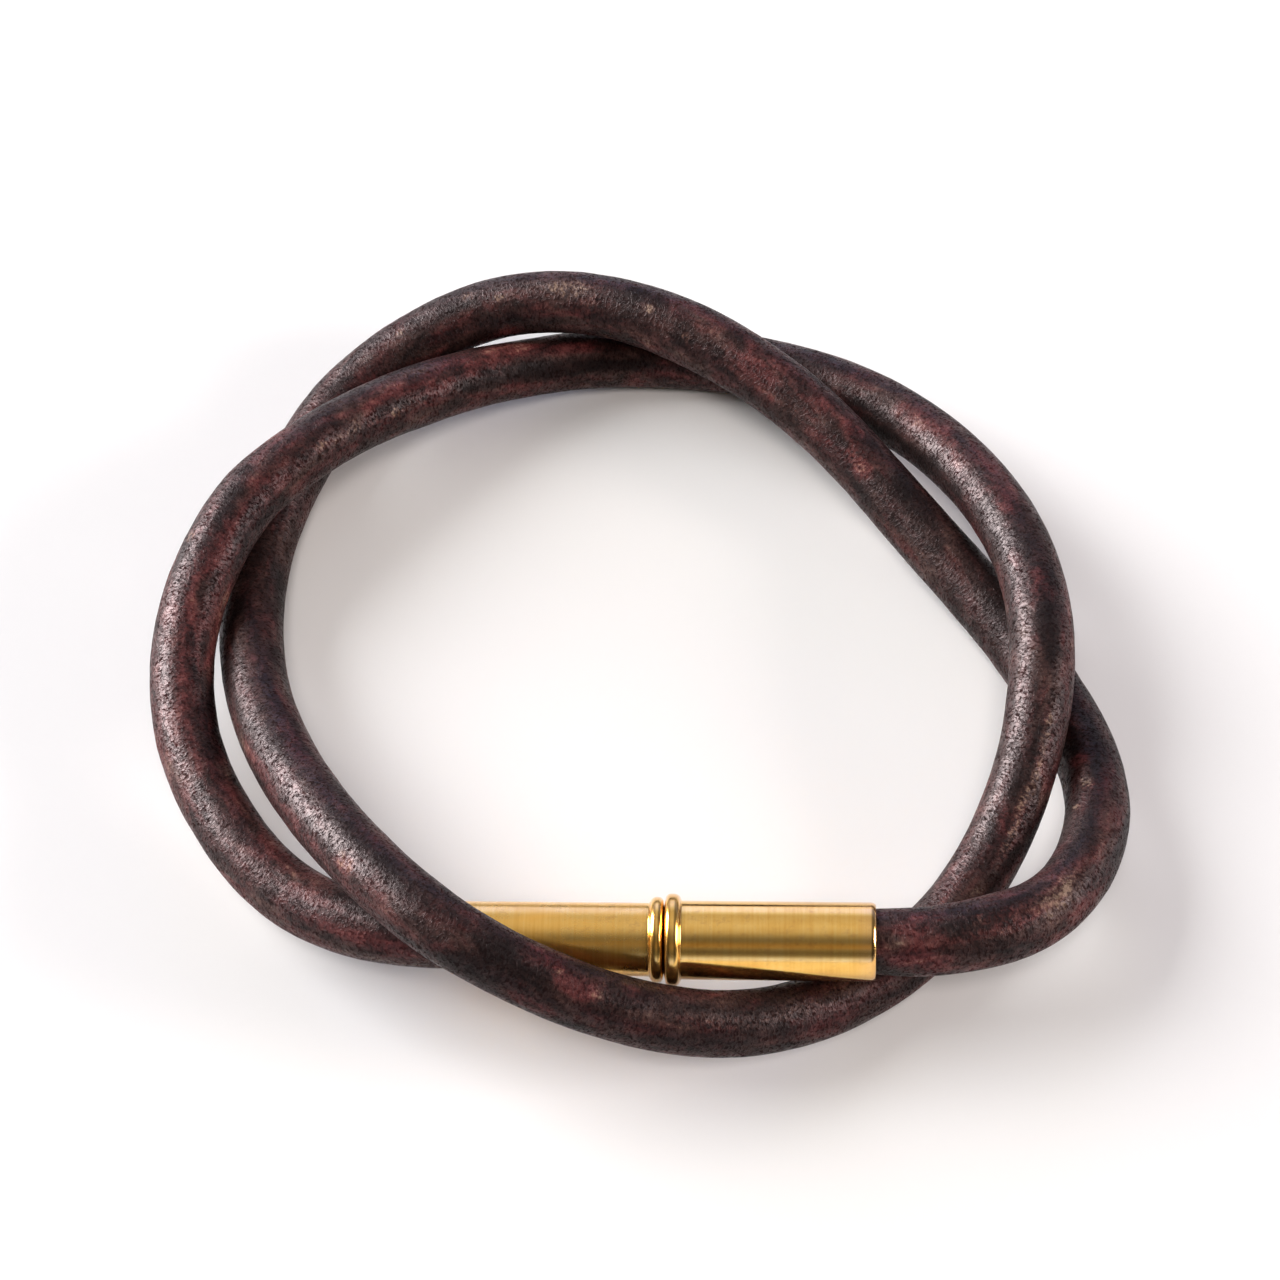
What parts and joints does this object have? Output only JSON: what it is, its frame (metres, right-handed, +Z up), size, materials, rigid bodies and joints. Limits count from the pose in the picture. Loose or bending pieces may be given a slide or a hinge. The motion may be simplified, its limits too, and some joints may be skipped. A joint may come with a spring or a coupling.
{
  "type": "leather wrap bracelet",
  "caption": "Wrap bracelet of round dark leather cord, its turns loosely twisted together, closed by brass end caps that hold head to head on hidden magnets.",
  "frame": {"origin": "middle of the ring's outline, on the surface that the bracelet lies on", "axes": "+X along the ring's longer side, towards the clasp's raised end; +Y from the clasp across the wrist opening; +Z up from the surface"},
  "size_m": [0.0746, 0.0709, 0.0151],
  "materials": {
    "leather": "smooth dark brown round leather, mottled, worn and slightly glossy",
    "brass": "polished drawn brass",
    "magnet": "nickel plated"
  },
  "bodies": {
    "root": {"leather_cord": "leather", "brass_cap_right": "brass", "brass_cap_left": "brass", "magnet_right": "magnet", "magnet_left": "magnet"}
  },
  "joints": []
}
